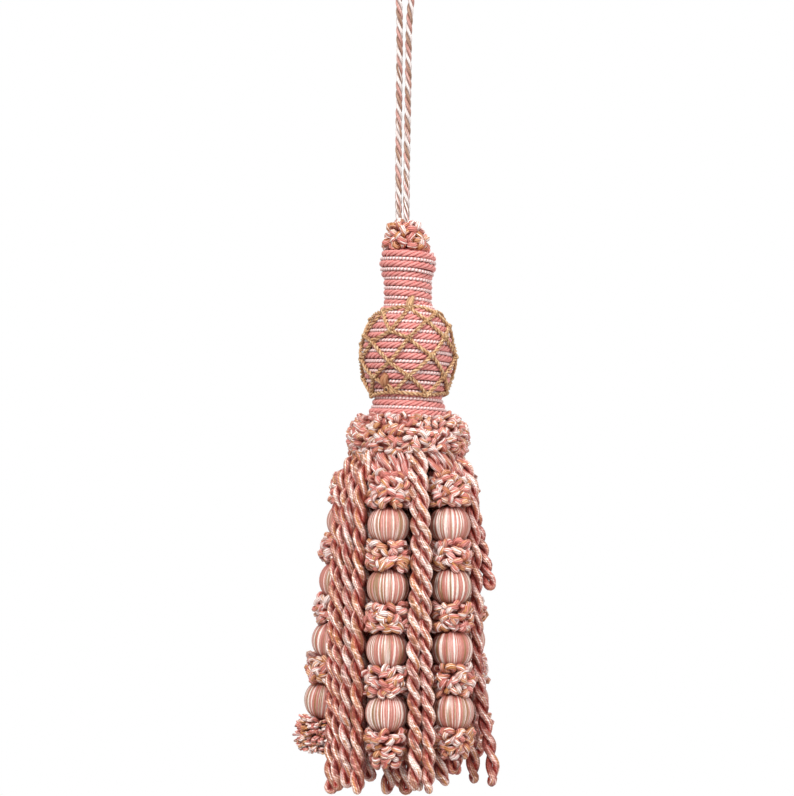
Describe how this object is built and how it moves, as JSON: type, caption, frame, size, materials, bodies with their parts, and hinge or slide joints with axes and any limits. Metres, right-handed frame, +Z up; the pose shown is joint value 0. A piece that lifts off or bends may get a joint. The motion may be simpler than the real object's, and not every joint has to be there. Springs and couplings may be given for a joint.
{
  "type": "key tassel",
  "caption": "Key tassel: hanging loop of twisted cord, wound head with a knotted net, looped ruffs, and a skirt of twisted bullion cords and hangers of thread-covered balls",
  "frame": {"origin": "the point inside the top of the hanging loop, which bears on the hook, knob or key that holds the tassel up", "axes": "+Z up along the loop towards what holds it, -Y the front, +X to the right seen from the front"},
  "size_m": [0.0526, 0.0477, 0.2333],
  "materials": {
    "loop_cord": "three-strand twisted cord, pale pink, tan and ivory",
    "wound_cord": "salmon pink twisted cord wound with a fine ivory gimp, satin",
    "net_cord": "old gold twisted net cord",
    "looped_yarn": "looped soft yarn in salmon pink, tan and ivory",
    "ball_thread": "satin thread laid in uneven upright stripes of salmon pink, tan and ivory",
    "bullion_yarn": "two-ply twisted bullion of fine salmon pink, tan and ivory yarns"
  },
  "bodies": {
    "root": {"cord_loop": "loop_cord", "top_ruff": "looped_yarn", "head_collar": "wound_cord", "head_neck": "wound_cord", "head_ball": "wound_cord", "head_foot": "wound_cord", "ball_net": "net_cord", "upper_ruff": "looped_yarn", "lower_ruff": "looped_yarn", "hanger_left": "looped_yarn", "ball_left_1": "ball_thread", "ball_left_2": "ball_thread", "ball_left_3": "ball_thread", "ball_left_4": "ball_thread", "hanger_front_left": "looped_yarn", "ball_front_left_1": "ball_thread", "ball_front_left_2": "ball_thread", "ball_front_left_3": "ball_thread", "ball_front_left_4": "ball_thread", "hanger_front_right": "looped_yarn", "ball_front_right_1": "ball_thread", "ball_front_right_2": "ball_thread", "ball_front_right_3": "ball_thread", "ball_front_right_4": "ball_thread", "hanger_right": "looped_yarn", "ball_right_1": "ball_thread", "ball_right_2": "ball_thread", "ball_right_3": "ball_thread", "ball_right_4": "ball_thread", "hanger_back": "looped_yarn", "ball_back_1": "ball_thread", "ball_back_2": "ball_thread", "ball_back_3": "ball_thread", "ball_back_4": "ball_thread", "outer_fringe": "bullion_yarn", "inner_fringe": "bullion_yarn"}
  },
  "joints": []
}
